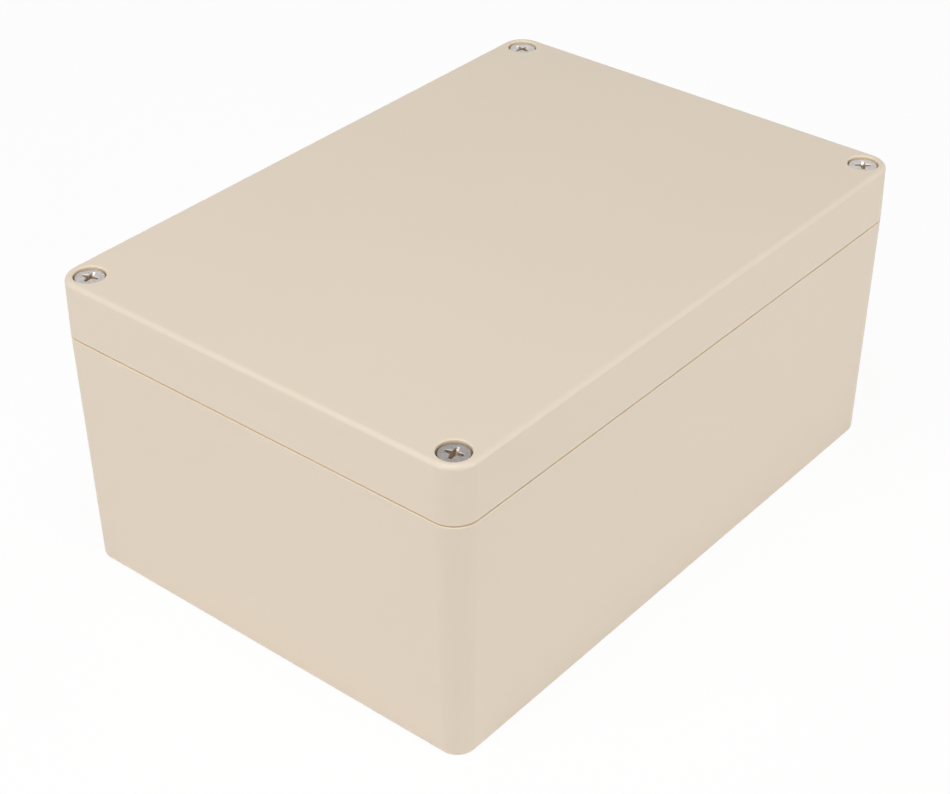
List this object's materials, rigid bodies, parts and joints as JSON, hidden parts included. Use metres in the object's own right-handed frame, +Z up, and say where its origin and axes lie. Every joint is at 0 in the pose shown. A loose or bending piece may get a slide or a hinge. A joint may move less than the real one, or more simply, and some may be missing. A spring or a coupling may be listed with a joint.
{
  "type": "plastic project box",
  "caption": "Rectangular sealed plastic enclosure with a shallow lift-off lid held by sunk corner screws, and bosses and guides for a circuit board inside.",
  "frame": {"origin": "middle of the flat underside", "axes": "+X along the box's length, +Y along its width, +Z up from the underside to the lid; the box is alike on both sides of XZ and YZ, apart from the turn of each screw's cross recess"},
  "size_m": [0.171, 0.121, 0.08],
  "materials": {
    "housing_plastic": "fine satin moulded plastic, warm beige-grey",
    "gasket_rubber": "matt black foam rubber",
    "screw_steel": "bright stainless steel, turned top",
    "washer_nylon": "natural nylon",
    "insert_brass": "turned and knurled brass"
  },
  "bodies": {
    "base_assembly": {"base": "housing_plastic", "thread_insert_front_left": "insert_brass", "thread_insert_front_right": "insert_brass", "thread_insert_back_right": "insert_brass", "thread_insert_back_left": "insert_brass"},
    "lid_assembly": {"lid": "housing_plastic", "lid_gasket": "gasket_rubber", "retaining_washer_front_left": "washer_nylon", "retaining_washer_front_right": "washer_nylon", "retaining_washer_back_right": "washer_nylon", "retaining_washer_back_left": "washer_nylon"},
    "screw_front_left": {"lid_screw_front_left": "screw_steel"},
    "screw_front_right": {"lid_screw_front_right": "screw_steel"},
    "screw_back_right": {"lid_screw_back_right": "screw_steel"},
    "screw_back_left": {"lid_screw_back_left": "screw_steel"}
  },
  "joints": [
    {"name": "lid_lift", "type": "slide", "parent": "base_assembly", "child": "lid_assembly", "axis": [0, 0, 1], "range_m": [0, 0.08]},
    {"name": "screw_front_left_turn", "type": "hinge", "parent": "lid_assembly", "child": "screw_front_left", "pos_m": [-0.0795, -0.0545, 0.0768], "axis": [0, 0, 1], "continuous": true},
    {"name": "screw_front_right_turn", "type": "hinge", "parent": "lid_assembly", "child": "screw_front_right", "pos_m": [0.0795, -0.0545, 0.0768], "axis": [0, 0, 1], "continuous": true},
    {"name": "screw_back_right_turn", "type": "hinge", "parent": "lid_assembly", "child": "screw_back_right", "pos_m": [0.0795, 0.0545, 0.0768], "axis": [0, 0, 1], "continuous": true},
    {"name": "screw_back_left_turn", "type": "hinge", "parent": "lid_assembly", "child": "screw_back_left", "pos_m": [-0.0795, 0.0545, 0.0768], "axis": [0, 0, 1], "continuous": true}
  ]
}
